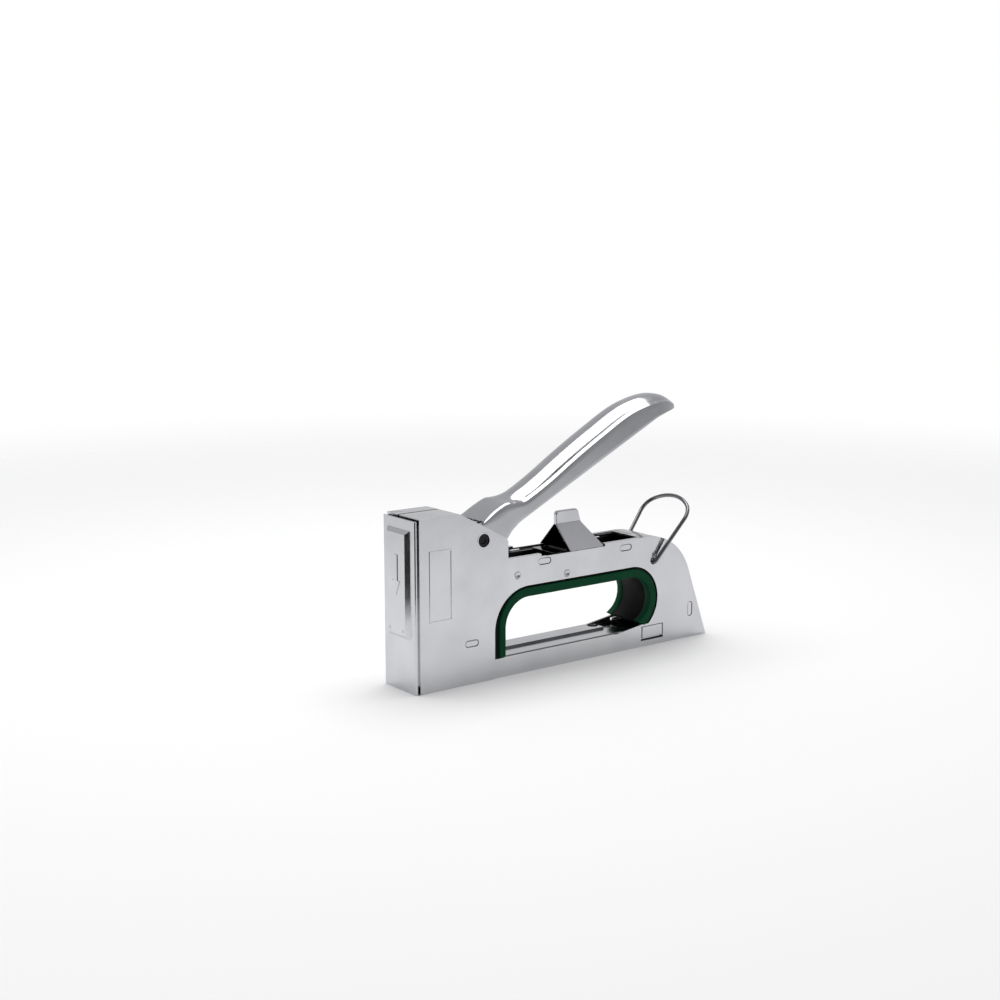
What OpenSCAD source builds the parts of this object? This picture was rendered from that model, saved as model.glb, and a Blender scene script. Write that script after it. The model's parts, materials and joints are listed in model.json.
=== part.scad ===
// Hand stapler (staple gun) in pressed steel, with a squeeze lever, a leaf power spring,
// a sliding force adjuster, a lock bail and a bottom magazine.
// Inside the modules X runs from the nose (0) to the tail, Z is height above the base
// and Y = 0 is the seam plane. The drawn part has its origin at the middle of its base.

/* [Body] */
// Width across the front housing
nose_w = 26; // [25.5:0.1:27]
// Width across the body behind the fold
body_w = 24.8; // [24.4:0.1:25.2]
// Thickness of the body sheet
sheet = 1.0; // [0.8:0.05:1.05]
// Height of the front housing
nose_h = 81.5; // [81:0.1:83]
// Height of the beam above the hand hole
beam_h = 56.7; // [56.5:0.1:57.2]
// Length from the nose to the tail's lowest corner
tail_x = 183.7; // [183:0.1:185]

/* [Hand hole] */
// Front edge of the hand hole
hole_front = 45.3; // [45:0.1:45.8]
// Top edge of the hand hole
hole_top = 42.4; // [42:0.1:42.6]
// Bottom edge of the hand hole
hole_floor = 9.3; // [9.3:0.1:9.8]
// Corner radius at the front of the hand hole
hole_front_r = 20; // [19:0.5:21]
// Radius at the rear of the hand hole
hole_rear_r = 17.6; // [17:0.1:17.8]

/* [Lever] */
// Width of the lever
lever_w = 21; // [20.6:0.1:21.2]
// Thickness of the lever sheet
lever_sheet = 1.2; // [1:0.05:1.3]
// Diameter of the lever's pivot pin
pin_d = 6.3; // [6:0.1:6.4]

/* [Drive] */
// Thickness of the driver blade
blade_t = 1.2; // [1:0.05:1.2]
// Thickness of one spring leaf
leaf_t = 1.8; // [1.6:0.05:1.8]
// Width of the spring leaves
leaf_w = 12; // [10:0.5:12]

/* [Magazine] */
// Outer width of the staple channel
channel_w = 13.6; // [13.4:0.1:14]
// Outer width of the sliding rail
rail_w = 9.2; // [9:0.1:9.4]

/* [Lock bail] */
// Diameter of the bail wire
wire_d = 2; // [1.8:0.1:2.1]
// Angle by which the bail leans back
bail_lean = 40; // [35:1:45]

/* [Hidden] */
$fn = 64;
fit_gap = 0.05;       // radial clearance of a running fit
slip_gap = 0.1;       // clearance between nested sheets
front_gap = 2.4;      // the housing sheets start this far behind the nose
cover_t = 1.0;
cover_h = 80.5;
emboss_h = 1.8;       // the cover's raised panel stands this proud
fold_x = 43.1;        // fold line between the wide nose and the narrower body
shoulder_x = 24.4;    // rear end of the flat roof
roof_end_x = 36.5;    // rear end of the sloped roof
back_x = 53.1;        // rear edge of the front housing
half_nose = nose_w / 2;
half_body = body_w / 2;
in_nose = half_nose - sheet;
in_body = half_body - sheet;
seam_y = 3.6;         // the roof's seam lies off the centre plane
seam_gap = 0.6;
lip_w = 2.5;          // width of the beam's top lips
notch_x0 = 73;        // cut-out that the force adjuster runs in
notch_x1 = 113.2;
notch_z = 55.4;
slot_end_x = 137;     // rear end of the beam's open top
arc_x = 141.5;        // centre and radius of the rounded tail
arc_r = 30.8;
arc_z = beam_h - arc_r;
tail_slope = 20;
tail_gate = 9.3;      // height of the magazine's way out at the tail
pivot_x = 38.5;
pivot_z = 67.5;
bush_r = 3.95;
pin_bore_r = pin_d / 2 + fit_gap;
hole_arc_x = 131.3;   // centre of the hand hole's rear arc
hole_arc_z = hole_top - hole_rear_r;
slot_l = 7.8;         // slots for the bracket tabs
slot_w = 3.4;
tab_l = 7.2;
tab_w = 2.6;
beam_slots = [[75.1, 53], [126.8, 53]];
nose_slot = [31.5, 19.5];
tail_slot = [172, 15];
stud_r = 1.95;
stud_spots = [[58.5, 48.2], [88.8, 45.2], [146.2, 46.8]];
latch_x0 = 138;       // latch window
latch_x1 = 153;
latch_z0 = 3;
latch_z1 = 10.5;
seal_top = 1.2;       // seal strip seen around the grip insert
seal_front = 2.7;
grip_t = 4.2;         // depth of the grip insert's rim
rim_outer = [seal_top, seal_front];
rim_inner = rim_outer + [grip_t, grip_t - 0.6];
pad_outer = rim_inner - [1.6, 1.6];
grip_half = half_body + 0.3;
pad_half = 8.4;
lever_half = lever_w / 2;
lever_in = lever_half - lever_sheet;
boss_r = 5.6;         // eye of the lever around its pin
lifter_w = 6;
lifter_tip = [3.2, 61.8];
lifter_tip_r = 1.9;
lever_rivets_at = [[45.6, 67.4], [50.2, 65.4]];
rivet_r = 1.6;
blade_x = 1.4;
hammer_x1 = 9.5;
hammer_z0 = 34;
hammer_z1 = 55.5;
floor_z = 14;         // floor of the nose frame
leaf_z = 48;          // underside of the main leaf
leaf_top = leaf_z + leaf_t;
leaf_end_x = 134;
wall_t = 1.0;         // sheet of the inner brackets
bracket_z0 = 43.8;
bracket_z1 = 54.4;
bracket_x0 = 55;
bracket_x1 = 149;
track_x0 = 66;
track_x1 = 120;
track_half = 7.6;
saddle_x0 = 91.2;
saddle_x1 = 112.8;
saddle_z = 55.5;
ridge_z = 67.2;
tab_top = 73.7;
roller_r = 2.5;
roller_x = 101.5;
roller_z = leaf_top + roller_r;
roller_half = 7.3;
channel_x1 = 134;
web_z = 8.3;          // top of the staple channel
channel_wall_z = 0.9;
rail_x0 = 5.9;
rail_x1 = 172;
rail_z0 = 0.6;
rail_z1 = 5.6;
rod_z = 3.7;
rod_r = 1.2;
pusher_x1 = 21;
coil_r = 2.2;
bail_x = 145.3;
bail_z = 43;
wire_r = wire_d / 2;
bail_y = half_body + 0.3 + wire_r;
bail_bulge = 16.3;
bail_arch_s = 28;
tab_half = 1.2;
tail_start = 148;     // plan outline of the lever's tail
tail_round = 30;
tip_round = 26;
tip_x = 168;
spring_r = 3.9;
bail_top_r = 22.2;    // the bail's arch is three arcs
shoulder_r = 9;
bail_bend_r = 1.6;
rail_t = 0.8;
pusher_half = 5.4;
latch_in = -9.6;
latch_coil_r = 1.8;
mark_h = 0.3;         // the cover's plain arrow stands this proud
origin_x = (tail_x - emboss_h - mark_h) / 2;

// ---- shared shapes ----

// Extrudes an outline drawn in X and Z from y0 to y1.
module slab(y0, y1) translate([0, y1, 0]) rotate([90, 0, 0]) linear_extrude(y1 - y0) children();

module both_sides() { children(); mirror([0, 1, 0]) children(); }

module block(x, y, z) translate([x[0], y[0], z[0]]) cube([x[1] - x[0], y[1] - y[0], z[1] - z[0]]);

// Round bar along Y.
module bar_y(at, r, y0, y1) translate([at[0], y0, at[1]]) rotate([-90, 0, 0]) cylinder(r = r, h = y1 - y0);

// Slot with round ends, centred on a point.
module slot2d(at, l, w) translate(at) {
  square([l - w, w], center = true);
  for (s = [-1, 1]) translate([s * (l - w) / 2, 0]) circle(d = w);
}

// Points of an arc about c.
function arc(c, r, a0, a1, steps = 6) =
  [for (i = [0:steps]) let (a = a0 + (a1 - a0) * i / steps) c + r * [cos(a), sin(a)]];

// Flat arm along Y from a, half_a wide each way there, to a round end about b.
module arm(a, half_a, b, r, y0, y1) {
  heading = atan2(b[1] - a[1], b[0] - a[0]);
  slab(y0, y1) polygon(concat(arc(a, half_a, heading - 90, heading + 90, 1),
    arc(b, r, heading + 90, heading - 90, 12)));
}

// Round wire swept along a list of points.
module wire(pts, r, sides = 8) {
  last = len(pts) - 1;
  function dir(i) = let (d = pts[min(i + 1, last)] - pts[max(i - 1, 0)]) d / norm(d);
  function side(i) = let (t = dir(i), s = cross(t, abs(t[2]) < 0.9 ? [0, 0, 1] : [1, 0, 0])) s / norm(s);
  rings = [for (i = [0:last]) let (u = side(i), v = cross(dir(i), u))
    for (k = [0:sides - 1]) pts[i] + r * (cos(360 * k / sides) * u + sin(360 * k / sides) * v)];
  skin = [for (i = [0:last - 1]) for (k = [0:sides - 1]) let (n = (k + 1) % sides)
    [i * sides + k, (i + 1) * sides + k, (i + 1) * sides + n, i * sides + n]];
  polyhedron(rings, concat([[for (k = [0:sides - 1]) k]], skin,
    [[for (k = [sides - 1:-1:0]) last * sides + k]]));
}

// ---- outlines ----

module hand_hole_2d() {
  r = hole_front_r;
  x = hole_front;
  intersection() {
    union() {
      translate([x + r, hole_top - r]) circle(r = r);
      translate([hole_arc_x, hole_arc_z]) circle(r = hole_rear_r);
      polygon([[x, hole_floor], [x, hole_top - r], [x + r, hole_top], [hole_arc_x, hole_top],
        [hole_arc_x + 8, hole_floor]]);
    }
    polygon([[40, hole_floor], [122, hole_floor], [138.2, 11.6], [160, 11.6], [160, 60], [40, 60]]);
  }
}

module side_2d() {
  tangent = [arc_x + arc_r * cos(tail_slope), arc_z + arc_r * sin(tail_slope)];
  difference() {
    union() {
      polygon([[front_gap, 0], [front_gap, nose_h], [shoulder_x, nose_h], [27, nose_h - 1.2],
        [51.3, 67.3], [back_x, 65.4], [back_x, beam_h], [arc_x, beam_h], tangent, [tail_x, 0]]);
      intersection() {
        translate([arc_x, arc_z]) circle(r = arc_r);
        translate([arc_x, 0]) square([60, 60]);
      }
    }
    hand_hole_2d();
  }
}

module latch_window_2d() translate([latch_x0, latch_z0]) square([latch_x1 - latch_x0, latch_z1 - latch_z0]);

module side_holes_2d() {
  translate([pivot_x, pivot_z]) circle(r = bush_r);
  for (s = beam_slots) slot2d(s, slot_l, slot_w);
  slot2d(nose_slot, slot_l, slot_w);
  translate(tail_slot) rotate(90) slot2d([0, 0], slot_l, slot_w);
  for (s = stud_spots) translate(s) circle(r = stud_r);
  translate([bail_x, bail_z]) circle(r = wire_r + slip_gap);
  latch_window_2d();
}

// ---- housing ----

module roof_2d() polygon([[front_gap, nose_h - sheet], [front_gap, nose_h], [shoulder_x, nose_h],
  [27, nose_h - 1.2], [roof_end_x, nose_h - 6.3], [roof_end_x - 0.5, nose_h - 6.3 - sheet],
  [26.6, nose_h - 2.1], [shoulder_x - 0.3, nose_h - sheet]]);

// Rear skin of the body: the round stretch and the straight tail, down to the magazine.
module tail_skin_2d() {
  tx = arc_x + arc_r * cos(tail_slope);
  tz = arc_z + arc_r * sin(tail_slope);
  fall = tan(tail_slope);
  difference() {
    translate([arc_x, arc_z]) circle(r = arc_r);
    translate([arc_x, arc_z]) circle(r = arc_r - sheet);
    translate([arc_x - 40, arc_z - 40]) square([40, 90]);
    polygon([[arc_x, arc_z], [arc_x + 40 * cos(tail_slope), arc_z + 40 * sin(tail_slope)],
      [arc_x + 60, -20], [arc_x, -20]]);
  }
  polygon([[tx, tz], [tail_x - tail_gate * fall, tail_gate],
    [tail_x - tail_gate * fall - sheet, tail_gate],
    [tx - sheet * cos(tail_slope), tz - sheet * sin(tail_slope)]]);
  translate([slot_end_x, beam_h - sheet]) square([arc_x - slot_end_x, sheet]);
}

// One pressed half, drawn on the -Y side. roof_to is how far its roof flange reaches.
module half_shell(roof_to) {
  difference() {
    union() {
      slab(-half_nose, -in_nose) intersection() {
        side_2d();
        square([fold_x + sheet, 100]);
      }
      slab(-half_body, -in_body) difference() {
        side_2d();
        square([fold_x, 100]);
        translate([notch_x0, notch_z]) square([notch_x1 - notch_x0, 10]);
      }
      slab(-in_nose - sheet / 2, roof_to) roof_2d();
      for (x = [[back_x, notch_x0], [notch_x1, slot_end_x]])
        block(x, [-in_body - sheet / 2, lip_w - half_body], [beam_h - sheet, beam_h]);
      slab(-in_body - sheet / 2, -seam_gap / 2) tail_skin_2d();
      block([fold_x + 3, 176], [-in_body - sheet / 2, -9], [0, sheet]);
      slab(-half_nose - 0.3, -half_nose + 0.1) difference() {
        translate([7.8, 32.7]) square([12.5, 33.3]);
        translate([8.4, 33.3]) square([11.3, 32.1]);
      }
    }
    slab(-half_nose - 1, -in_body + 0.5) side_holes_2d();
  }
}

module left_shell() color("#c9ccd1") half_shell(seam_y - seam_gap / 2);

// The right half also carries the flange that lies on the staple channel.
module right_shell() color("#c9ccd1") difference() {
  union() {
    mirror([0, 1, 0]) half_shell(-seam_y - seam_gap / 2);
    block([hole_front + 0.2, 126], [2.9, in_body + sheet / 2], [web_z, web_z + sheet]);
  }
  translate([123.3, 8.4, web_z - 1]) cylinder(r = 2.9, h = 3);
}

// Raised panel of the cover, as a slab with sloped edges; x is its foot plane.
module raised_panel(x, inset) intersection() {
  linear_extrude(100) polygon([[x + 0.1, -9.3 + inset], [x + 0.1, 9.3 - inset],
    [x - emboss_h, 7.2 - inset], [x - emboss_h, -7.2 + inset]]);
  slab(-20, 20) polygon([[x + 0.1, 25 + inset], [x + 0.1, 76 - inset],
    [x - emboss_h, 74 - inset], [x - emboss_h, 27 + inset]]);
}

module front_cover() color("#d2d5d9") difference() {
  union() {
    block([0, cover_t], [-half_nose, half_nose], [0, cover_h]);
    both_sides() block([cover_t, 6], [slip_gap - in_nose, slip_gap + cover_t - in_nose], [4, 78]);
    raised_panel(0, 0);
    cover_arrow();
  }
  translate([cover_t, 0, 0]) raised_panel(0, 0.8);
  for (y = [-5.4, 5.4]) translate([-emboss_h - 1, y, 29]) rotate([0, 90, 0]) cylinder(r = 0.7, h = 4);
}

// Plain arrow on the cover, pointing to the outlet.
module cover_arrow() translate([-emboss_h - mark_h, 0, 0]) rotate([90, 0, 90]) linear_extrude(mark_h + 0.1)
  polygon([[-1.3, 64], [1.3, 64], [1.3, 52], [3.2, 52], [0, 45], [-3.2, 52], [-1.3, 52]]);

module cover_rivets() color("#9a9da2") for (y = [-5.4, 5.4])
  translate([-emboss_h, y, 29]) rotate([0, 90, 0]) cylinder(r = 0.7, h = cover_t);

module nose_frame() color("#8f9297") {
  both_sides() {
    block([6.6, 38], [slip_gap - in_nose, slip_gap + wall_t - in_nose], [floor_z, 30]);
    slab(slip_gap - in_nose - 1, slip_gap - in_nose) slot2d(nose_slot, tab_l, tab_w);
  }
  block([3.2, 38], [slip_gap + wall_t - in_nose, in_nose - slip_gap - wall_t], [floor_z, floor_z + 1.2]);
}

module nose_plate() color("#8f9297") difference() {
  block([2.9, 5.4], [-10.6, 10.6], [0.4, floor_z - 0.2]);
  block([2, 6], [-channel_w / 2 + 1, channel_w / 2 - 1], [0, web_z]);
}

module beam_bracket() color("#5c5f64") {
  y0 = slip_gap - in_body;
  both_sides() {
    block([bracket_x0, bracket_x1], [y0, y0 + wall_t], [bracket_z0, bracket_z1]);
    block([track_x0, track_x1], [y0 + wall_t, -track_half], [bracket_z1 - wall_t, bracket_z1]);
    for (s = beam_slots) slab(y0 - 0.9, y0) slot2d(s, tab_l, tab_w);
  }
  block([bracket_x0, bracket_x1], [y0 + wall_t, -y0 - wall_t], [bracket_z0, bracket_z0 + wall_t]);
}

module tail_bracket() color("#5c5f64") {
  y0 = slip_gap - in_body;
  both_sides() {
    block([158, 174.8], [y0, y0 + wall_t], [11, 20]);
    slab(y0 - 0.9, y0) translate(tail_slot) rotate(90) slot2d([0, 0], tab_l, tab_w);
  }
  block([158, 174.8], [y0 + wall_t, -y0 - wall_t], [11, 11 + wall_t]);
}

module bracket_studs() color("#b9bcc1") both_sides() for (s = stud_spots)
  bar_y(s, stud_r, -half_body - 0.05, slip_gap - in_body);

module pivot_pin() color("#2a2b2e") difference() {
  bar_y([pivot_x, pivot_z], pin_d / 2, 0.5 - half_nose, half_nose - 0.5);
  both_sides() bar_y([pivot_x, pivot_z], 1.6, -half_nose, 1.1 - half_nose);
}

module pivot_bushes() color("#dcdee2") both_sides() difference() {
  bar_y([pivot_x, pivot_z], bush_r, -half_nose - 0.1, 0.4 - in_nose);
  bar_y([pivot_x, pivot_z], pin_d / 2, -half_nose - 1, 0);
}

// ---- grip insert ----

// Solid that fills the hand hole, drawn in from its edges, with its floor left open.
module hole_filler(half, top_gap, lead_gap) {
  r = hole_front_r - lead_gap;
  x = hole_front + lead_gap;
  top = hole_top - top_gap;
  bar_y([x + r, top - r], r, -half, half);
  bar_y([hole_arc_x, hole_arc_z], hole_rear_r - top_gap, -half, half);
  slab(-half, half) polygon([[x, -5], [x, top - r], [x + r, top], [hole_arc_x, top], [hole_arc_x, -5]]);
}

// C-shaped band round the hand hole. outer and inner are [gap on top, gap at the front].
module grip_band(half, outer, inner) intersection() {
  difference() {
    hole_filler(half, outer[0], outer[1]);
    hole_filler(half + 1, inner[0], inner[1]);
  }
  slab(-half, half) polygon([[30, hole_floor + 0.2], [110, hole_floor + 0.2], [126, 18.8],
    [150, 5.7], [160, 5.7], [160, 60], [30, 60]]);
}

// The seal ends short of the latch buttons.
module grip_seal() color("#101113") difference() {
  grip_band(in_body - 0.2, [-1, -1], rim_outer);
  block([latch_x0, 160], [-20, 20], [0, latch_z1 + 0.3]);
}

module grip_frame() color("#0b4a2a") difference() {
  grip_band(grip_half, rim_outer, rim_inner);
  grip_band(pad_half, pad_outer, rim_inner + [1, 1]);
}

module grip_pad() color("#141416") grip_band(pad_half, pad_outer, rim_inner - [0.1, 0.1]);

// ---- drive ----

module bumper() color("#1c1c1e") block([3.2, 12], [-7.5, 7.5], [floor_z + 1.2, hammer_z0 - 0.3]);

module leaf_seat() color("#6a6d72") difference() {
  block([122, leaf_end_x + 2], [-9.2, 9.2], [bracket_z0 + wall_t, leaf_z - leaf_t]);
  leaf_bolt_bores();
}

module leaf_clamp() color("#75787d") difference() {
  block([122, leaf_end_x], [-7, 7], [leaf_top, leaf_top + 1.8]);
  leaf_bolt_bores();
}

module leaf_bolt_bores() for (x = [125, 131]) translate([x, 0, bracket_z0]) cylinder(r = 1.75, h = 12);

module leaf_bolts() color("#3a3b3e") for (x = [125, 131]) {
  translate([x, 0, bracket_z0 + wall_t]) cylinder(r = 1.75, h = leaf_top + 1.8 - bracket_z0 - wall_t);
  translate([x, 0, leaf_top + 1.8]) cylinder(r = 3.2, h = 1.6);
}

module leaf(x0, z) difference() {
  block([x0, leaf_end_x], [-leaf_w / 2, leaf_w / 2], [z, z + leaf_t]);
  leaf_bolt_bores();
}

module main_leaf() color("#3f4247") leaf(4.6, leaf_z);

module helper_leaf() color("#4a4d52") leaf(44, leaf_z - leaf_t);

module driver_blade() color("#a9acb1") difference() {
  union() {
    block([blade_x, blade_x + blade_t], [-5.3, 5.3], [0.9, 34]);
    block([blade_x, blade_x + blade_t], [-9, 9], [30, 65.6]);
  }
  block([0, 4], [-lifter_w / 2 - 0.4, lifter_w / 2 + 0.4], [59.4, 64.6]);
  hammer_rivet_bores();
}

module hammer_rivet_bores() for (z = [38, 43.5]) translate([0, 0, z]) rotate([0, 90, 0]) cylinder(r = 1.5, h = 20);

module hammer() color("#7d8085") difference() {
  block([blade_x + blade_t, hammer_x1], [-7.8, 7.8], [hammer_z0, hammer_z1]);
  block([4.2, hammer_x1 + 1], [-9, 9], [leaf_z - 0.4, leaf_top + 0.4]);
  hammer_rivet_bores();
}

module hammer_rivets() color("#55585d") for (z = [38, 43.5])
  translate([blade_x, 0, z]) rotate([0, 90, 0]) cylinder(r = 1.5, h = hammer_x1 - blade_x + 0.6);

// ---- lever ----

// Crown line of the lever's web, from its front edge to the tip.
crown = [[41, 75.6], [47, 79.4], [53, 82.3], [58, 84], [66, 87.2], [74, 91.4], [82, 96.2],
  [90, 101.2], [98, 106], [106, 110.6], [114, 115], [122, 119.4], [130, 123.2], [138, 125.8],
  [145, 127.3], [151, 127.8], [157, 127.2], [162, 125.6], [166, 123.4], [168, 121.9]];

module lever_side_2d() polygon(concat(
  [[pivot_x - 1, pivot_z - boss_r + 0.1], [50, 62.4], [54, 65.9], [57, 69.8], [61.5, 73.3],
    [158.5, 121.4]],
  [for (i = [len(crown) - 1:-1:0]) crown[i]], [[pivot_x + 1, pivot_z + boss_r - 0.1]]));

// Everything under the web, between the cheeks.
module lever_hollow_2d() polygon(concat([[20, 40], [175, 40], [175, 118]],
  [for (i = [len(crown) - 1:-1:0]) crown[i] - [0, lever_sheet * 1.15]],
  [[crown[0][0], 95], [20, 95]]));

// Plan outline of the lever, with its narrowing tail.
module lever_plan_2d(inset) {
  half = lever_half - inset;
  translate([20, -half]) square([tail_start - 20, 2 * half]);
  intersection() {
    translate([tail_start, half - tail_round]) circle(r = tail_round);
    translate([tail_start, tail_round - half]) circle(r = tail_round);
    translate([tip_x - inset - tip_round, 0]) circle(r = tip_round);
  }
}

module lever() color("#cfd2d6") difference() {
  intersection() {
    union() {
      slab(-lever_half, lever_half) lever_side_2d();
      bar_y([pivot_x, pivot_z], boss_r, -lever_half, lever_half);
    }
    translate([0, 0, 40]) linear_extrude(100) lever_plan_2d(0);
  }
  intersection() {
    slab(-lever_in, lever_in) lever_hollow_2d();
    translate([0, 0, 40]) linear_extrude(100) lever_plan_2d(lever_sheet);
  }
  bar_y([pivot_x, pivot_z], pin_bore_r, -20, 20);
  for (p = lever_rivets_at) bar_y(p, rivet_r, -20, 20);
}

// Hardened arm between the cheeks that lifts the driver.
module lifter() color("#6b6e73") difference() {
  union() {
    bar_y([pivot_x, pivot_z], boss_r, -lifter_w / 2, lifter_w / 2);
    arm([pivot_x, pivot_z], 5, lifter_tip, lifter_tip_r, -lifter_w / 2, lifter_w / 2);
    arm([pivot_x, pivot_z], 4, lever_rivets_at[1], 3, -lifter_w / 2, lifter_w / 2);
  }
  bar_y([pivot_x, pivot_z], pin_bore_r, -lifter_w, lifter_w);
  for (p = lever_rivets_at) bar_y(p, rivet_r, -lifter_w, lifter_w);
}

// Two shouldered rivets; the shoulders space the cheeks from the lifter.
module lever_rivets() color("#a4a7ac") for (p = lever_rivets_at) {
  bar_y(p, rivet_r, -lever_half - 0.4, lever_half + 0.4);
  both_sides() {
    bar_y(p, 2.1, -lever_in, -lifter_w / 2);
    bar_y(p, 2.4, -lever_half - 0.4, -lever_half);
  }
}

// Torsion springs on the pin, one each side of the lifter.
module lever_springs() color("#8a8d92") both_sides() wire(concat(
  [[pivot_x - 9, -8.3, pivot_z - spring_r]],
  [for (a = [0:20:360 * 3.5]) [pivot_x - spring_r * sin(a), a / 360 * 1.25 - 8.3,
    pivot_z - spring_r * cos(a)]],
  [[pivot_x + 10, -3.7, pivot_z + spring_r + 1]]), 0.5);

// ---- force adjuster ----

saddle_lean = (half_body - tab_half) / (ridge_z - saddle_z);   // sideways run per unit of height
saddle_in = half_body - sheet * sqrt(1 + pow(saddle_lean, 2)); // inner half width at the foot

// Extrudes an outline drawn in Y and Z from x0 to x1.
module along_x(x0, x1) translate([x0, 0, 0]) rotate([90, 0, 90]) linear_extrude(x1 - x0) children();

module force_saddle() color("#c4c7cc") intersection() {
  along_x(saddle_x0, saddle_x1) difference() {
    polygon([[-half_body, saddle_z], [-tab_half, ridge_z], [-tab_half, tab_top], [tab_half, tab_top],
      [tab_half, ridge_z], [half_body, saddle_z]]);
    polygon([[-saddle_in, saddle_z], [0, saddle_z + saddle_in / saddle_lean], [saddle_in, saddle_z]]);
  }
  slab(-20, 20) polygon(concat([[saddle_x1, saddle_z], [106.8, ridge_z], [105.6, 71]],
    arc([103.4, tab_top - 1.8], 1.8, 10, 90), arc([saddle_x0 + 1.8, tab_top - 1.8], 1.8, 90, 180),
    [[saddle_x0, saddle_z]]));
}

module adjuster_block() color("#5e6166") difference() {
  union() {
    along_x(93, 110) polygon([for (p = [[1, 0.1], [1, 4.5], [-1, 4.5], [-1, 0.1]])
      [p[0] * (saddle_in - saddle_lean * p[1] - 0.02), saddle_z + p[1]]]);
    block([93, 110], [0.3 - track_half, track_half - 0.3], [51.4, saddle_z + 0.1]);
    block([93, 110], [-10, 10], [50.9, bracket_z1 - wall_t - 0.2]);
  }
  bar_y([roller_x, roller_z], roller_r + fit_gap, -12, 12);
}

module fulcrum_roller() color("#9da0a5") bar_y([roller_x, roller_z], roller_r, -roller_half, roller_half);

module detent_spring() color("#8a8d92") block([84, 93], [-9, 9], [bracket_z1 + 0.1, bracket_z1 + 0.6]);

// ---- lock bail ----

// Bail drawn flat, its feet on the X axis, then leant back about them.
module bail_place() translate([bail_x, 0, bail_z]) rotate([0, bail_lean, 0]) rotate([90, 0, 90]) children();

// Centre line of one half of the bail, from its foot to the middle of its arch.
function bail_half() = let (
    drop = bail_top_r - shoulder_r,
    cx = bail_bulge - shoulder_r,
    crest = asin(cx / drop),
    flare = atan2(bail_bulge - bail_y, bail_arch_s))
  concat([[in_body + 0.1, 0]],
    arc([bail_y - bail_bend_r, bail_bend_r], bail_bend_r, -90, -flare, 5),
    arc([cx, bail_arch_s], shoulder_r, -flare, 90 - crest, 8),
    arc([0, bail_arch_s - drop * cos(crest)], bail_top_r, 92 - crest, 90, 6));

module lock_bail() color("#b4b7bc") bail_place() {
  half = bail_half();
  last = len(half) - 1;
  wire(concat([for (p = half) [p[0], p[1], 0]],
    [for (i = [last - 1:-1:0]) [-half[i][0], half[i][1], 0]]), wire_r, 12);
  for (s = [-1, 1]) translate([s * in_body, 0, 0]) rotate([0, s * 90, 0])
    cylinder(r = wire_r + 0.02, h = 0.6);
}

// ---- magazine ----

module staple_channel() color("#b8bbc0") difference() {
  block([5.5, channel_x1], [-channel_w / 2, channel_w / 2], [channel_wall_z, web_z]);
  block([5, channel_x1 + 1], [1 - channel_w / 2, channel_w / 2 - 1], [0, web_z - 1]);
}

module magazine_rail() color("#a0a3a8") difference() {
  block([rail_x0, rail_x1], [-rail_w / 2, rail_w / 2], [rail_z0, rail_z1]);
  block([rail_x0 + rail_t, rail_x1 + 1], [rail_t - rail_w / 2, rail_w / 2 - rail_t], [rail_z0 + rail_t, 9]);
}

module rail_stop() color("#3c3d40") difference() {
  block([166, rail_x1], [rail_t - rail_w / 2, rail_w / 2 - rail_t], [rail_z0 + rail_t, rail_z1]);
  translate([160, 0, rod_z]) rotate([0, 90, 0]) cylinder(r = rod_r, h = 20);
}

module pusher_rod() color("#c0c2c6") translate([rail_x0 + rail_t, 0, rod_z]) rotate([0, 90, 0])
  cylinder(r = rod_r, h = rail_x1 - rail_x0 - rail_t - 0.5);

module pusher() color("#7a7d82") difference() {
  union() {
    block([7, pusher_x1], [-pusher_half, pusher_half], [rail_z1 + 0.2, rail_z1 + 1.3]);
    both_sides() block([7, pusher_x1], [-pusher_half, -rail_w / 2 - 0.15], [1.6, rail_z1 + 0.3]);
    block([8, pusher_x1], [-3.5, 3.5], [2, rail_z1 + 0.3]);
  }
  translate([0, 0, rod_z]) rotate([0, 90, 0]) cylinder(r = rod_r + fit_gap, h = 40);
}

// Outer shape of the pusher's coil spring.
module pusher_spring() color("#9598a0") translate([pusher_x1, 0, rod_z]) rotate([0, 90, 0]) difference() {
  cylinder(r = coil_r, h = 166 - pusher_x1);
  translate([0, 0, -1]) cylinder(r = coil_r - 0.7, h = 170);
}

module rail_end() color("#c9ccd1") difference() {
  slab(-8.7, 8.7) polygon([[rail_x1, rail_z0], [tail_x - 1.2, rail_z0], [tail_x - 4.2, tail_gate - 0.5],
    [rail_x1, tail_gate - 0.5]]);
  bar_y([tail_x + 1.5, 4.6], 3.6, -6, 6);
}

// ---- magazine latch ----

module left_latch() color("#d4d6da") {
  y0 = -in_body + 0.15;
  block([latch_x0 + 1.2, latch_x1 - 0.3], [0.1 - half_body, y0], [latch_z0 + 1.3, latch_z1 - 0.3]);
  block([latch_x0 - 1, latch_x1 + 1], [y0, latch_in], [latch_z0 + 0.4, 9.6]);
  block([148, latch_x1], [y0, latch_in], [9.6, 13.3]);
}

module right_latch() mirror([0, 1, 0]) left_latch();

// Outer shape of the coil spring between the two latches.
module latch_spring() color("#9598a0") difference() {
  bar_y([150.5, 11.5], latch_coil_r, latch_in, -latch_in);
  bar_y([150.5, 11.5], latch_coil_r - 0.6, -12, 12);
}

module placed() translate([-origin_x, 0, 0]) children();

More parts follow.
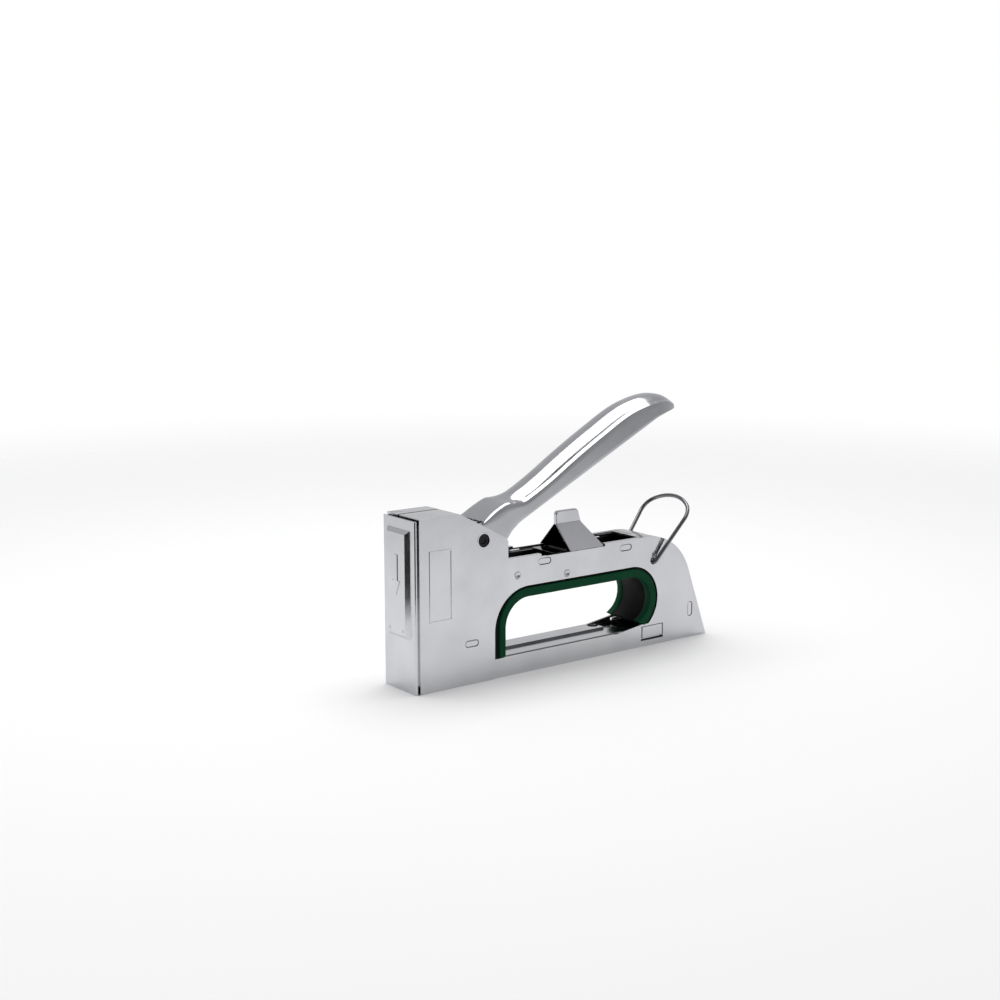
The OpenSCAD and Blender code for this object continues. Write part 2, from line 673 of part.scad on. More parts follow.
placed() left_shell();
placed() right_shell();
placed() front_cover();
placed() cover_rivets();
placed() nose_frame();
placed() nose_plate();
placed() beam_bracket();
placed() tail_bracket();
placed() bracket_studs();
placed() pivot_pin();
placed() pivot_bushes();
placed() grip_frame();
placed() grip_pad();
placed() grip_seal();
placed() bumper();
placed() leaf_seat();
placed() leaf_clamp();
placed() leaf_bolts();
placed() main_leaf();
placed() helper_leaf();
placed() lever();
placed() lifter();
placed() lever_rivets();
placed() lever_springs();
placed() driver_blade();
placed() hammer();
placed() hammer_rivets();
placed() force_saddle();
placed() adjuster_block();
placed() fulcrum_roller();
placed() detent_spring();
placed() lock_bail();
placed() staple_channel();
placed() magazine_rail();
placed() rail_end();
placed() rail_stop();
placed() pusher_rod();
placed() pusher();
placed() pusher_spring();
placed() left_latch();
placed() right_latch();
placed() latch_spring();
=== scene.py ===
"""Looks of the hand stapler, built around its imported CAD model.

Helper functions take millimetres from the nose plane, the base and the seam plane; to_m() turns
such a point into metres in the model's own frame.
"""
import math

import bmesh
import bpy
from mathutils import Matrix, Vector
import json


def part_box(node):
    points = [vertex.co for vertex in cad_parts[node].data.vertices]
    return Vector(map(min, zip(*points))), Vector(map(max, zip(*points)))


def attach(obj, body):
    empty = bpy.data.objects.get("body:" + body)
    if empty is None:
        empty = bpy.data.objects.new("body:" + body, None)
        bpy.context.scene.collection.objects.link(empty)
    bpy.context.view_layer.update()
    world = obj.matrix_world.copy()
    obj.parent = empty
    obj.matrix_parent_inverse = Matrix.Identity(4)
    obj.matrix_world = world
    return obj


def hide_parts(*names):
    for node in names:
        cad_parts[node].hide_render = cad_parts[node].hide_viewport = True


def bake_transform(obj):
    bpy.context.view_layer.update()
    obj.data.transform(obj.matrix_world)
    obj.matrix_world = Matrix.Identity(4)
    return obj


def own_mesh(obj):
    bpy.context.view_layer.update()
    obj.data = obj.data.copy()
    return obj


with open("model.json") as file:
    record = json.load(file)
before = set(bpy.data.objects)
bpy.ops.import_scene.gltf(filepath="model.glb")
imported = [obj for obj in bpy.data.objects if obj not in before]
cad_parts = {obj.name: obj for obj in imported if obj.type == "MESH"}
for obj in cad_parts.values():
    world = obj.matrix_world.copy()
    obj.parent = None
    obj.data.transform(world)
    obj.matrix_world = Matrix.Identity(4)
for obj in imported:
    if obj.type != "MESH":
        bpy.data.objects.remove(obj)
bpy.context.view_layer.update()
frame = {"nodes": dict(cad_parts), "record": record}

MM = 0.001
FRONT_GAP = 2.4        # the shells start this far behind the nose plane, in mm
NOSE_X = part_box("left_shell")[0].x / MM - FRONT_GAP
WALL = 12.4            # outer face of the body's side wall, in mm from the seam plane


def to_m(x, y, z):
    """A point in mm from the nose, as a point of the model in metres."""
    return Vector(((x + NOSE_X) * MM, y * MM, z * MM))


# ---- camera, floor and light ----

def make_camera():
    data = bpy.data.cameras.new("camera")
    data.sensor_width = 36
    data.lens = 54.68
    data.clip_start = 0.01
    camera = bpy.data.objects.new("camera", data)
    camera.location = to_m(-370.2, -566.3, 207.7)
    camera.rotation_euler = (math.radians(80.011), 0, math.radians(-37.065))
    bpy.context.scene.collection.objects.link(camera)
    bpy.context.scene.camera = camera


def make_floor():
    """Pale round table that fades into the white surroundings."""
    bm = bmesh.new()
    bmesh.ops.create_circle(bm, cap_ends=True, segments=96, radius=3)
    data = bpy.data.meshes.new("floor")
    bm.to_mesh(data)
    bm.free()
    floor = bpy.data.objects.new("floor", data)
    bpy.context.scene.collection.objects.link(floor)
    surface = bpy.data.materials.new("floor_paint")
    surface.use_nodes = True
    nodes, links = surface.node_tree.nodes, surface.node_tree.links
    shader, out = nodes["Principled BSDF"], nodes["Material Output"]
    shader.inputs["Base Color"].default_value = (0.9, 0.9, 0.9, 1)
    shader.inputs["Roughness"].default_value = 0.9
    shader.inputs["Specular IOR Level"].default_value = 0.1
    where = nodes.new("ShaderNodeTexCoord")
    distance = nodes.new("ShaderNodeVectorMath")
    distance.operation = "LENGTH"
    fade = nodes.new("ShaderNodeMapRange")
    fade.interpolation_type = "SMOOTHSTEP"
    fade.inputs["From Min"].default_value = 0.25
    fade.inputs["From Max"].default_value = 1.1
    clear, mix = nodes.new("ShaderNodeBsdfTransparent"), nodes.new("ShaderNodeMixShader")
    links.new(where.outputs["Object"], distance.inputs[0])
    links.new(distance.outputs["Value"], fade.inputs["Value"])
    links.new(fade.outputs["Result"], mix.inputs["Fac"])
    links.new(shader.outputs["BSDF"], mix.inputs[1])
    links.new(clear.outputs["BSDF"], mix.inputs[2])
    links.new(mix.outputs["Shader"], out.inputs["Surface"])
    data.materials.append(surface)


def soft_box(name, place, aim, size, power):
    """Rectangular area light at place, turned towards aim; both in metres."""
    data = bpy.data.lights.new(name, "AREA")
    data.shape = "RECTANGLE"
    data.size, data.size_y = size
    data.energy = power
    light = bpy.data.objects.new(name, data)
    light.location = place
    light.rotation_euler = (Vector(aim) - Vector(place)).to_track_quat("-Z", "Y").to_euler()
    bpy.context.scene.collection.objects.link(light)


def black_card(name, place, aim, size):
    """Studio flag that only reflections show: a dark card at place, turned towards aim; in metres."""
    bm = bmesh.new()
    bmesh.ops.create_grid(bm, x_segments=1, y_segments=1, size=0.5)
    bmesh.ops.scale(bm, vec=(size[0], size[1], 1), verts=bm.verts)
    data = bpy.data.meshes.new(name)
    bm.to_mesh(data)
    bm.free()
    card = bpy.data.objects.new(name, data)
    card.location = place
    card.rotation_euler = (Vector(aim) - Vector(place)).to_track_quat("-Z", "Y").to_euler()
    bpy.context.scene.collection.objects.link(card)
    black = bpy.data.materials.new(name)
    black.use_nodes = True
    black.node_tree.nodes["Principled BSDF"].inputs["Base Color"].default_value = (0.005, 0.005, 0.005, 1)
    data.materials.append(black)
    card.visible_camera = card.visible_diffuse = card.visible_shadow = False


def make_light():
    """Dim surroundings, darker behind the camera, under one large soft box; the backdrop looks white."""
    world = bpy.data.worlds.new("studio")
    bpy.context.scene.world = world
    world.use_nodes = True
    nodes, links = world.node_tree.nodes, world.node_tree.links
    nodes.clear()
    out = nodes.new("ShaderNodeOutputWorld")
    room, backdrop = nodes.new("ShaderNodeBackground"), nodes.new("ShaderNodeBackground")
    mix = nodes.new("ShaderNodeMixShader")
    path = nodes.new("ShaderNodeLightPath")
    where = nodes.new("ShaderNodeTexCoord")
    facing = nodes.new("ShaderNodeVectorMath")
    facing.operation = "DOT_PRODUCT"
    facing.inputs[1].default_value = (0.603, 0.798, 0)
    half = nodes.new("ShaderNodeMapRange")
    half.inputs["From Min"].default_value = -1
    levels = nodes.new("ShaderNodeValToRGB")
    steps = [(0.0, 0.13), (0.10, 0.17), (0.25, 0.42), (0.5, 0.48), (0.8, 0.58), (1.0, 0.66)]
    for i, (at, level) in enumerate(steps):
        stop = levels.color_ramp.elements[i] if i < 2 else levels.color_ramp.elements.new(at)
        stop.position = at
        stop.color = (level, level, level * 1.02, 1)
    links.new(where.outputs["Generated"], facing.inputs[0])
    links.new(facing.outputs["Value"], half.inputs["Value"])
    links.new(half.outputs["Result"], levels.inputs["Fac"])
    links.new(levels.outputs["Color"], room.inputs["Color"])
    backdrop.inputs["Color"].default_value = (1, 1, 1, 1)
    links.new(path.outputs["Is Camera Ray"], mix.inputs["Fac"])
    links.new(room.outputs["Background"], mix.inputs[1])
    links.new(backdrop.outputs["Background"], mix.inputs[2])
    links.new(mix.outputs["Shader"], out.inputs["Surface"])
    soft_box("overhead", (0.0, 0.15, 1.0), (0, 0, 0), (1.1, 0.8), 9)
    black_card("nose_card", (-0.23, -0.075, 0.1), (-0.09, -0.008, 0.1), (0.26, 0.20))
    black_card("lever_card", (-0.022, -0.16, 0.55), (-0.013, -0.008, 0.09), (0.05, 0.05))


# ---- materials ----

def new_material(name):
    mat = bpy.data.materials.new(name)
    mat.use_nodes = True
    nodes, links = mat.node_tree.nodes, mat.node_tree.links
    where = nodes.new("ShaderNodeTexCoord")
    return mat, nodes, links, where, nodes["Principled BSDF"]


def noise(nodes, links, where, scale, detail=3.0, stretch=(1, 1, 1)):
    """Noise in object space, scale per metre, stretched along the axes."""
    place = nodes.new("ShaderNodeMapping")
    place.inputs["Scale"].default_value = stretch
    tex = nodes.new("ShaderNodeTexNoise")
    tex.inputs["Scale"].default_value = scale
    tex.inputs["Detail"].default_value = detail
    links.new(where.outputs["Object"], place.inputs["Vector"])
    links.new(place.outputs["Vector"], tex.inputs["Vector"])
    return tex.outputs["Fac"]


def spread(nodes, links, value, low, high, from_low=0.3, from_high=0.7):
    """Turns a value between two limits into one between low and high."""
    span = nodes.new("ShaderNodeMapRange")
    span.inputs["From Min"].default_value = from_low
    span.inputs["From Max"].default_value = from_high
    span.inputs["To Min"].default_value = low
    span.inputs["To Max"].default_value = high
    links.new(value, span.inputs["Value"])
    return span.outputs["Result"]


def tint(nodes, links, value, dark, light):
    ramp = nodes.new("ShaderNodeValToRGB")
    ramp.color_ramp.elements[0].position = 0.3
    ramp.color_ramp.elements[0].color = (*dark, 1)
    ramp.color_ramp.elements[1].position = 0.7
    ramp.color_ramp.elements[1].color = (*light, 1)
    links.new(value, ramp.inputs["Fac"])
    return ramp.outputs["Color"]


def bump(nodes, links, value, shader, depth, strength=1.0):
    node = nodes.new("ShaderNodeBump")
    node.inputs["Distance"].default_value = depth
    node.inputs["Strength"].default_value = strength
    links.new(value, node.inputs["Height"])
    links.new(node.outputs["Normal"], shader.inputs["Normal"])


def metal(name, dark, light, rough, grain=2500, grain_depth=0.000002, stretch=(1, 1, 1)):
    """Metal with cloudy tint, uneven gloss and a fine surface grain."""
    mat, nodes, links, where, shader = new_material(name)
    shader.inputs["Metallic"].default_value = 1.0
    clouds = noise(nodes, links, where, 60, 4)
    links.new(tint(nodes, links, clouds, dark, light), shader.inputs["Base Color"])
    smear = noise(nodes, links, where, 180, 5, stretch)
    links.new(spread(nodes, links, smear, rough[0], rough[1]), shader.inputs["Roughness"])
    bump(nodes, links, noise(nodes, links, where, grain, 2, stretch), shader, grain_depth)
    return mat


def plastic(name, dark, light, rough, grain, depth):
    """Moulded plastic or rubber: fine spark-eroded grain and faint mottling."""
    mat, nodes, links, where, shader = new_material(name)
    clouds = noise(nodes, links, where, 90, 4)
    links.new(tint(nodes, links, clouds, dark, light), shader.inputs["Base Color"])
    grainy = noise(nodes, links, where, grain, 2)
    links.new(spread(nodes, links, grainy, rough[0], rough[1]), shader.inputs["Roughness"])
    bump(nodes, links, grainy, shader, depth)
    shader.inputs["Specular IOR Level"].default_value = 0.08
    return mat


FINISH = {
    "polished_chrome": metal("polished_chrome", (0.56, 0.565, 0.585), (0.63, 0.635, 0.65), (0.12, 0.19)),
    # the lever's chrome is a darker copy of the body's chrome: painted shade for its flank beside the shell
    "lever_chrome_painted_shade": metal("lever_chrome_painted_shade", (0.44, 0.445, 0.46), (0.50, 0.505, 0.52), (0.12, 0.18)),
    "chrome_inner": metal("chrome_inner", (0.44, 0.445, 0.455), (0.55, 0.555, 0.565), (0.26, 0.38), 3000,
                          0.000004),
    # dark grey metal for the shells' inner faces: painted shade for the stapler's interior
    "shell_inside": metal("shell_inside", (0.19, 0.19, 0.195), (0.27, 0.27, 0.275), (0.3, 0.42), 3000,
                          0.000004),
    "dark_steel": metal("dark_steel", (0.10, 0.10, 0.105), (0.17, 0.17, 0.175), (0.28, 0.45), 2200, 0.000006),
    "blued_pin": metal("blued_pin", (0.02, 0.02, 0.022), (0.04, 0.04, 0.043), (0.25, 0.35), 2200, 0.000004),
    "spring_steel": metal("spring_steel", (0.15, 0.15, 0.155), (0.24, 0.24, 0.25), (0.08, 0.14), 2500,
                          0.000003),
    "green_plastic": plastic("green_plastic", (0.0002, 0.046, 0.017), (0.0004, 0.060, 0.023), (0.45, 0.55),
                             4200, 0.00002),
    "black_rubber": plastic("black_rubber", (0.010, 0.010, 0.011), (0.018, 0.018, 0.019), (0.55, 0.72), 3800,
                            0.00004),
    "black_plastic": plastic("black_plastic", (0.014, 0.014, 0.015), (0.022, 0.022, 0.023), (0.38, 0.5), 4200,
                             0.00002),
}
SLOT_OF = {s["node"]: s["material_slot"] for s in frame["record"]["subparts"]}
BODY_OF = {n: body for body, members in frame["record"]["behaviour"]["bodies"].items() for n in members}


def paint(obj, slot):
    obj.data.materials.clear()
    obj.data.materials.append(FINISH[slot])


def add_piece(name, data, node, smooth=35):
    """A new piece that stands for a CAD node and has its material."""
    obj = bpy.data.objects.new(name, data)
    bpy.context.scene.collection.objects.link(obj)
    shade(data, smooth)
    paint(obj, SLOT_OF[node])
    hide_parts(node)
    return obj


def shade(data, angle):
    """Smooth shading, with edges sharper than angle left hard."""
    data.shade_smooth()
    data.set_sharp_from_angle(angle=math.radians(angle))


# ---- CAD nodes that stay, with their edges eased ----

def ease_edges(obj, width, angle=35, segments=2):
    """Welds the mesh, clears its flat-face triangles and rounds its edges by width, in mm."""
    weld = obj.modifiers.new("weld", "WELD")
    weld.merge_threshold = 1e-6
    flat = obj.modifiers.new("flat", "DECIMATE")
    flat.decimate_type = "DISSOLVE"
    flat.angle_limit = math.radians(0.5)
    edge = obj.modifiers.new("edge", "BEVEL")
    edge.width = width * MM
    edge.segments = segments
    edge.limit_method = "ANGLE"
    edge.angle_limit = math.radians(angle)
    edge.harden_normals = True
    edge.miter_outer = "MITER_ARC"


EASED = {
    "cover_rivets": 0.12, "nose_frame": 0.15, "nose_plate": 0.15, "beam_bracket": 0.15, "tail_bracket": 0.15,
    "pivot_pin": 0.35, "pivot_bushes": 0.12, "bumper": 0.4, "leaf_seat": 0.3,
    "leaf_clamp": 0.25, "leaf_bolts": 0.3, "lifter": 0.3, "lever_rivets": 0.3, "driver_blade": 0.1,
    "hammer": 0.3, "hammer_rivets": 0.3, "adjuster_block": 0.25, "fulcrum_roller": 0.25,
    "detent_spring": 0.1, "staple_channel": 0.35, "magazine_rail": 0.2, "rail_end": 0.5, "rail_stop": 0.2,
    "pusher_rod": 0.15, "pusher": 0.2, "left_latch": 0.25, "right_latch": 0.25, "force_saddle": 0.6,
    "grip_frame": 1.1, "grip_pad": 0.5, "grip_seal": 0.1,
}


def finish_cad_nodes():
    for name, obj in frame["nodes"].items():
        paint(obj, SLOT_OF[name])
        if name in EASED:
            ease_edges(obj, EASED[name])
    for name in ("beam_bracket", "tail_bracket", "nose_frame"):      # the tabs are plated with the shells
        paint_where(frame["nodes"][name], "polished_chrome", lambda y, normal: abs(y) > 11.5)


# ---- pressed shells: CAD sheets with real bends ----

def cad_copy(node, cuts=()):
    """A welded copy of a CAD node's mesh, with the triangles of each flat face joined.
    The faces stay divided at the X of each cut, so that no face has a hole in it."""
    bm = bmesh.new()
    bm.from_mesh(frame["nodes"][node].data)
    bmesh.ops.remove_doubles(bm, verts=bm.verts, dist=2e-6)
    for x in cuts:
        made = bmesh.ops.bisect_plane(bm, geom=bm.verts[:] + bm.edges[:] + bm.faces[:], dist=1e-7,
                                      plane_co=to_m(x, 0, 0), plane_no=(1, 0, 0))
        for item in made["geom_cut"]:
            if isinstance(item, bmesh.types.BMEdge):
                item.seam = True
    bmesh.ops.dissolve_limit(bm, angle_limit=math.radians(0.6), verts=bm.verts, edges=bm.edges,
                             delimit={"SEAM"})
    return bm


def round_off(bm, chosen, width, segments):
    """Rounds the edges for which chosen(edge) is true; width in mm."""
    edges = [e for e in bm.edges if len(e.link_faces) == 2 and chosen(e)]
    bmesh.ops.bevel(bm, geom=edges, offset=width * MM, segments=segments, profile=0.5,
                    affect="EDGES", clamp_overlap=True, miter_outer="ARC")


def sharp(edge, degrees=35):
    return edge.calc_face_angle(0) > math.radians(degrees)


def in_mm(point):
    """A model point as mm from the nose plane, the seam plane and the base."""
    return point.x / MM - NOSE_X, point.y / MM, point.z / MM


def finished(bm, name, node, smooth=40):
    data = bpy.data.meshes.new(name)
    bmesh.ops.recalc_face_normals(bm, faces=bm.faces)
    bm.to_mesh(data)
    bm.free()
    obj = add_piece(name, data, node, smooth)
    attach(obj, BODY_OF[node])
    even = obj.modifiers.new("even", "WEIGHTED_NORMAL")
    even.keep_sharp = True
    return obj


# X of a cut through each hole of the shells.
SHELL_CUTS = (14, 31.5, 38.5, 58.5, 75.1, 88.8, 124.5, 145.8, 172)


def paint_where(obj, slot, test):
    """Gives the faces for which test(y in mm, normal) is true another finish."""
    obj.data.materials.append(FINISH[slot])
    for face in obj.data.polygons:
        if test(face.center.y / MM, face.normal):
            face.material_index = len(obj.data.materials) - 1


def make_shell(node):
    """A shell with its roof, lips and tail skin bent over to the side with a real radius."""
    def bend(edge):
        ends = [in_mm(v.co) for v in edge.verts]
        outside = all(abs(abs(y) - WALL) < 0.05 or abs(abs(y) - WALL - 0.6) < 0.05 for _, y, _ in ends)
        along = abs(ends[0][0] - ends[1][0]) + abs(ends[0][2] - ends[1][2]) > 0.05
        high = all(z > 54 or x > 142 for x, _, z in ends)
        rim = all(z > 74 or x > 53.2 or abs(z - 56.7) < 0.1 for x, _, z in ends)
        return sharp(edge) and outside and along and high and rim and outer_edge(ends)

    bm = cad_copy(node, SHELL_CUTS)
    for v in bm.verts:
        x, y, z = in_mm(v.co)
        if z > 74 and x < 40 and abs(y - 3.6) < 0.4:      # a wider seam in the roof
            v.co.y += math.copysign(0.25 * MM, y - 3.6)
    round_off(bm, bend, 0.9, 4)
    round_off(bm, lambda e: sharp(e) and all(abs(v.co.y) > 12.3 * MM for v in e.verts), 0.32, 3)
    round_off(bm, sharp, 0.14, 2)
    shell = finished(bm, node + "_skin", node)
    # the inner faces get the dark grey metal: painted shade inside the shell
    paint_where(shell, "shell_inside", lambda y, normal: abs(y) < 12.3 and normal.y * y < -0.5 * abs(y))
    return shell


def outer_edge(ends):
    """True for edges on the outline where the sheet turns over: roof, lips and tail."""
    for x, _, z in ends:
        roof = x < 36.6 and z > 81.5 - 6.4
        lip = abs(z - 56.7) < 0.05 and (x < 73.1 or x > 113.1)
        tail = x > 141.4 and z > 9.2 and math.hypot(x - 141.5, z - 25.9) > 30.4
        if not (roof or lip or tail):
            return False
    return True


# ---- lever ----

CROWN = [(41, 75.6), (47, 79.4), (53, 82.3), (58, 84), (66, 87.2), (74, 91.4), (82, 96.2), (90, 101.2),
         (98, 106), (106, 110.6), (114, 115), (122, 119.4), (130, 123.2), (138, 125.8), (145, 127.3),
         (151, 127.8), (157, 127), (162, 124.9), (166, 122.2), (168, 120.2)]
RIM_START, RIM_END = Vector((61.5, 73.3)), Vector((147, 115.7))
RIM_BEND, LEVER_TIP = Vector((155, 119.7)), Vector((168, 119.9))
TAIL_START = 141.3      # crown point above the end of the rim's straight stretch
EAR = [(41.0, (37.6, 73.0)), (42.0, (33.4, 69.8)), (43.2, (33.1, 66.0)), (44.8, (36.0, 62.5)),
       (46.8, (41.5, 61.9)), (49, (49.5, 62.4)), (51.6, (53.6, 65.5)), (54.6, (56.8, 69.6)),
       (58.5, (61.2, 73.15))]


def through(points, x):
    """Height of a smooth curve through points (x, z), at x."""
    last = len(points) - 1
    i = max(k for k in range(last) if points[k][0] <= x or k == 0)
    before, a = points[max(i - 1, 0)], points[i]
    b, after = points[i + 1], points[min(i + 2, last)]
    t = (x - a[0]) / (b[0] - a[0])
    slope_a = (b[1] - before[1]) / (b[0] - before[0]) * (b[0] - a[0])
    slope_b = (after[1] - a[1]) / (after[0] - a[0]) * (b[0] - a[0])
    return ((2 * t ** 3 - 3 * t ** 2 + 1) * a[1] + (t ** 3 - 2 * t ** 2 + t) * slope_a
            + (3 * t ** 2 - 2 * t ** 3) * b[1] + (t ** 3 - t ** 2) * slope_b)


def smooth_step(x, low, high):
    t = min(max((x - low) / (high - low), 0), 1)
    return t * t * (3 - 2 * t)


def rim_below(x):
    """The point of the lever's lower rim that belongs to the crown point at x."""
    top = Vector((x, through(CROWN, x)))
    if x < EAR[-1][0]:
        k = max(i for i in range(len(EAR) - 1) if EAR[i][0] <= x)
        t = (x - EAR[k][0]) / (EAR[k + 1][0] - EAR[k][0])
        return Vector(EAR[k][1]).lerp(Vector(EAR[k + 1][1]), t)
    run = (RIM_END - RIM_START).normalized()
    foot = RIM_START + run * (top - RIM_START).dot(run)
    if foot.x > RIM_END.x:
        t = (x - TAIL_START) / (LEVER_TIP.x - TAIL_START)
        foot = RIM_END.lerp(RIM_BEND, t).lerp(RIM_BEND.lerp(LEVER_TIP, t), t)
    return foot


def lever_row(x, steps=12):
    """Section of the lever's sheet at a crown point: rim, flank, rounded corner, bulging web and back."""
    top = Vector((x, through(CROWN, x)))
    foot = rim_below(x)
    depth = (foot - top).length
    down = (foot - top) / depth
    half = 10.5 * max(1 - max((x - 145) / 23.2, 0) ** 2.3, 0.0001) ** 0.62
    bulge = min(3.8 * smooth_step(x, 54, 66), 0.34 * depth)
    corner = min(2.4 - 0.9 * smooth_step(x, 56, 70), 0.3 * depth, 0.4 * half)
    side = [(half, depth + (bulge + corner - depth) * k / 5) for k in range(6)]
    side += [(half - corner + corner * math.cos(a), bulge + corner - corner * math.sin(a))
             for a in [math.radians(15 * k) for k in range(1, 7)]]
    span = half - corner
    side += [(span * (1 - k / steps), bulge * (1 - k / steps) ** 2.4) for k in range(1, steps + 1)]
    row = side + [(-y, d) for y, d in reversed(side[:-1])]
    return [to_m(top.x + down.x * d, y, top.y + down.y * d) for y, d in row]


def grid(rows):
    """A bmesh sheet through rows of points of equal length."""
    bm = bmesh.new()
    verts = [[bm.verts.new(p) for p in row] for row in rows]
    for a, b in zip(verts, verts[1:]):
        for k in range(len(a) - 1):
            bm.faces.new((a[k], a[k + 1], b[k + 1], b[k]))
    return bm


def make_lever():
    stations = [41 + 0.5 * k for k in range(40)] + [61 + 1.5 * k for k in range(57)]
    stations += [146.5 + 0.9 * k for k in range(20)] + [164.3 + 0.4 * k for k in range(9)] + [167.9]
    bm = grid([lever_row(x) for x in stations])
    data = bpy.data.meshes.new("lever_skin")
    bmesh.ops.recalc_face_normals(bm, faces=bm.faces)
    bm.to_mesh(data)
    bm.free()
    obj = add_piece("lever_skin", data, "lever", 50)
    # darker copy of the chrome: painted shade on the lever
    paint(obj, "lever_chrome_painted_shade")
    thick = obj.modifiers.new("thick", "SOLIDIFY")
    thick.thickness = 1.2 * MM
    thick.offset = -1
    edge = obj.modifiers.new("edge", "BEVEL")
    edge.width = 0.3 * MM
    edge.segments = 3
    edge.limit_method = "ANGLE"
    edge.angle_limit = math.radians(60)
    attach(obj, "lever")


# ---- wire pieces ----

def tube(name, node, points, radius, sides=16):
    """Round wire along points in metres, radius in mm, that stands for a CAD node."""
    pts = [Vector(p) for p in points]
    last = len(pts) - 1
    heading = [(pts[min(i + 1, last)] - pts[max(i - 1, 0)]).normalized() for i in range(last + 1)]
    across = heading[0].orthogonal().normalized()
    bm = bmesh.new()
    rings = []
    for p, way in zip(pts, heading):
        across = (across - way * across.dot(way)).normalized()
        up = way.cross(across)
        turn = [2 * math.pi * k / sides for k in range(sides)]
        rings.append([bm.verts.new(p + radius * MM * (across * math.cos(a) + up * math.sin(a)))
                      for a in turn])
    for a, b in zip(rings, rings[1:]):
        for k in range(sides):
            bm.faces.new((a[k], a[(k + 1) % sides], b[(k + 1) % sides], b[k]))
    bm.faces.new(list(reversed(rings[0])))
    bm.faces.new(rings[-1])
    bmesh.ops.recalc_face_normals(bm, faces=bm.faces)
    data = bpy.data.meshes.new(name)
    bm.to_mesh(data)
    bm.free()
    return add_piece(name, data, node, 50)


def arc(centre, r, a0, a1, steps):
    turn = [math.radians(a0 + (a1 - a0) * k / steps) for k in range(steps + 1)]
    return [(centre[0] + r * math.cos(a), centre[1] + r * math.sin(a)) for a in turn]


def make_bail():
    """The lock bail's wire, with the CAD node's feet, legs and arch at a finer step."""
    foot_y, leg_y, bulge_y, arch = 11.4, 13.7, 16.3, 28.0
    bend_r, shoulder_r, top_r = 1.6, 9.0, 22.2
    drop, side = top_r - shoulder_r, bulge_y - shoulder_r
    crest = math.degrees(math.asin(side / drop))
    flare = math.degrees(math.atan2(bulge_y - leg_y, arch))
    half = [(foot_y, 0)] + arc((leg_y - bend_r, bend_r), bend_r, -90, -flare, 10)
    half += arc((side, arch), shoulder_r, -flare, 90 - crest, 24)
    half += arc((0, arch - drop * math.cos(math.radians(crest))), top_r, 89 - crest, 90, 14)
    flat = half + [(-y, s) for y, s in reversed(half[:-1])]
    lean = math.radians(40)
    pts = [to_m(145.3 + s * math.sin(lean), y, 43 + s * math.cos(lean)) for y, s in flat]
    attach(tube("bail_wire", "lock_bail", pts, 1.0, 24), "bail")


def coil(start, end, radius, turns, flat_turns=1.0, per_turn=24):
    """Points of a coil spring with closed end turns, start and end in mm from the nose."""
    start, end = Vector(start), Vector(end)
    way = (end - start).normalized()
    u = way.orthogonal().normalized()
    v = way.cross(u)
    count = int(turns * per_turn)
    length = (end - start).length
    points = []
    for k in range(count + 1):
        t = turns * k / count
        open_share = smooth_step(t, flat_turns * 0.5, flat_turns * 1.5)
        rise = (t - flat_turns) / (turns - 2 * flat_turns)
        along = min(max(rise, 0), 1)
        near_end = 0.012 * (min(t, flat_turns) + max(t - turns + flat_turns, 0)) * open_share
        a = 2 * math.pi * t
        p = start + way * (length * min(along + near_end, 1)) + (u * math.cos(a) + v * math.sin(a)) * radius
        points.append(to_m(*p))
    return points


def make_springs():
    low, high = [in_mm(c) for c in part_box("pusher_spring")]
    z = (low[2] + high[2]) / 2
    spring = tube("pusher_coil", "pusher_spring", coil((low[0] + 0.3, 0, z), (high[0] - 0.3, 0, z), 1.9, 46),
                  0.28, 8)
    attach(spring, "magazine")
    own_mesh(spring)
    low, high = [in_mm(c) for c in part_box("latch_spring")]
    x, z = (low[0] + high[0]) / 2, (low[2] + high[2]) / 2
    for side, end in (("left", low[1] + 0.3), ("right", high[1] - 0.3)):
        half = tube("latch_coil_" + side, "latch_spring", coil((x, end, z), (x, 0, z), 1.5, 5), 0.3, 8)
        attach(half, "housing")
        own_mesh(half)


# ---- turned pieces ----

def turned(name, node, spots, profile, steps=48):
    """Discs on both sides of the housing that stand for a CAD node; the profile's points are
    (radius, |y|) in mm, from the outer face's centre to the inner face's."""
    bm = bmesh.new()
    for x, z in spots:
        for side in (-1, 1):
            rings = []
            for r, y in profile:
                turn = [2 * math.pi * k / steps for k in range(steps)]
                ring = [to_m(x + r * math.cos(a), side * y, z + r * math.sin(a)) for a in turn]
                rings.append([bm.verts.new(p) for p in (ring if r else ring[:1])])
            for a, b in zip(rings, rings[1:]):
                for k in range(steps):
                    corners = [a[k % len(a)], a[(k + 1) % len(a)], b[(k + 1) % len(b)], b[k % len(b)]]
                    bm.faces.new(list(dict.fromkeys(corners)))
    bmesh.ops.recalc_face_normals(bm, faces=bm.faces)
    data = bpy.data.meshes.new(name)
    bm.to_mesh(data)
    bm.free()
    obj = add_piece(name, data, node, 40)
    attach(obj, "housing")
    return obj


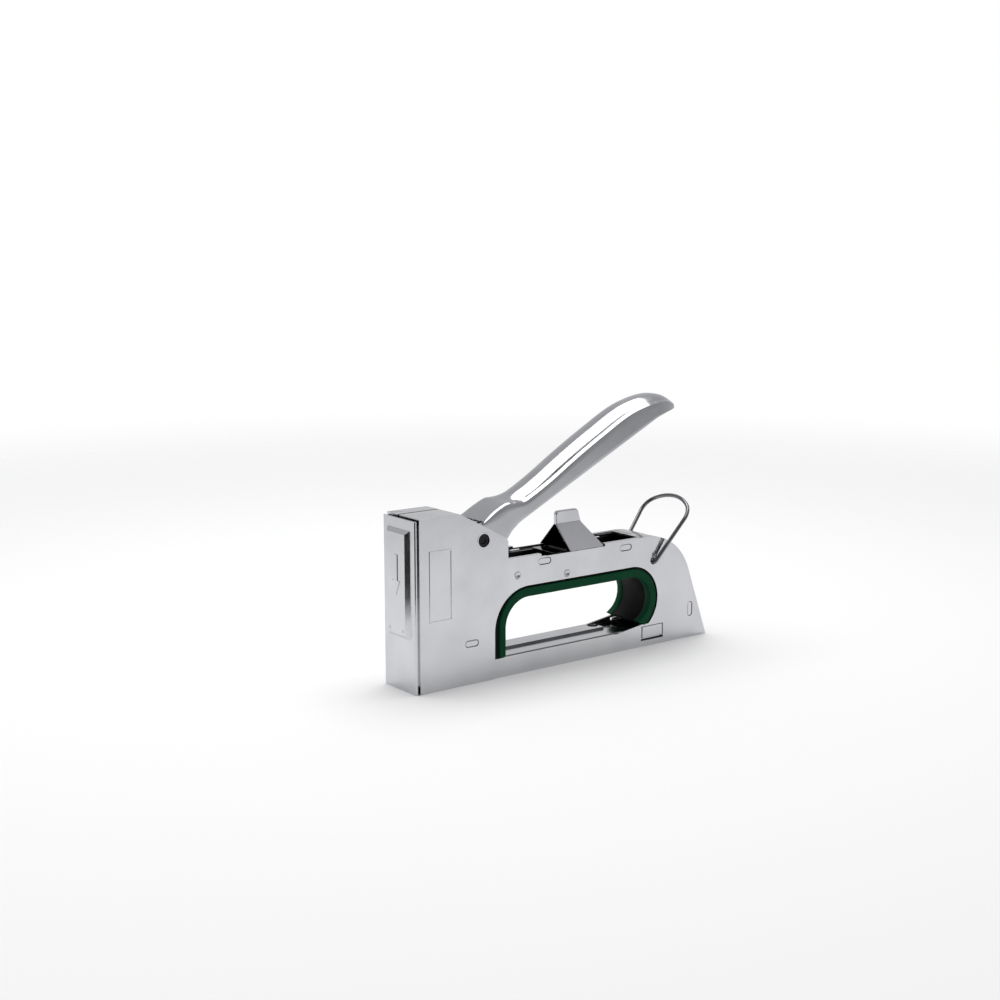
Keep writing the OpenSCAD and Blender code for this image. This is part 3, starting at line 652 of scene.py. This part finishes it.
def make_studs():
    """Stud ends riveted over in a shallow dish."""
    low = 11.3
    dish = [(0, 11.75), (0.5, 11.8), (0.9, 11.95), (1.25, 12.2), (1.5, 12.36), (1.68, 12.42), (1.8, 12.4),
            (1.9, 12.3), (1.93, 12.15), (1.93, low), (0, low)]
    turned("stud_ends", "bracket_studs", [(58.5, 48.2), (88.8, 45.2), (146.2, 46.8)], dish)


# ---- front cover ----

def make_cover():
    """The front cover with its sides bent back and its panel pressed out with soft edges."""
    bm = cad_copy("front_cover")
    front = min(v.co.x for v in bm.verts)
    for v in bm.verts:
        if v.co.x < front + 0.2 * MM and abs(v.co.z - 74 * MM) < 0.3 * MM:
            v.co.z += 1.1 * MM                                   # a steep step at the panel's top
    rim = max(abs(v.co.y) for v in bm.verts)

    def front_corner(edge):
        a, b = edge.verts
        outer = all(abs(v.co.y) > rim - 0.05 * MM and v.co.x < to_m(0.9, 0, 0).x for v in (a, b))
        return sharp(edge) and outer and abs(a.co.z - b.co.z) > 5 * MM

    round_off(bm, front_corner, 0.8, 4)
    round_off(bm, lambda e: sharp(e, 20), 0.2, 3)
    finished(bm, "cover_skin", "front_cover", 30)


# ---- power spring ----

def make_leaf(name, node):
    """A spring leaf: a copy of the CAD node, cut across its length into 28 slices."""
    bm = cad_copy(node)
    low, high = [in_mm(c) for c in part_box(node)]
    bmesh.ops.triangulate(bm, faces=bm.faces)
    for k in range(1, 28):
        cut = to_m(low[0] + (high[0] - low[0]) * k / 28, 0, 0)
        bmesh.ops.bisect_plane(bm, geom=bm.verts[:] + bm.edges[:] + bm.faces[:], plane_co=cut,
                               plane_no=(1, 0, 0), dist=1e-6)
    data = bpy.data.meshes.new(name)
    bm.to_mesh(data)
    bm.free()
    obj = add_piece(name, data, node)
    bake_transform(obj)


bpy.context.scene.view_settings.view_transform = "Standard"
make_camera()
make_floor()
make_light()
finish_cad_nodes()
make_shell("left_shell")
make_shell("right_shell")
make_lever()
make_bail()
make_springs()
make_studs()
make_cover()
make_leaf("main_leaf_bent", "main_leaf")
make_leaf("helper_leaf_bent", "helper_leaf")
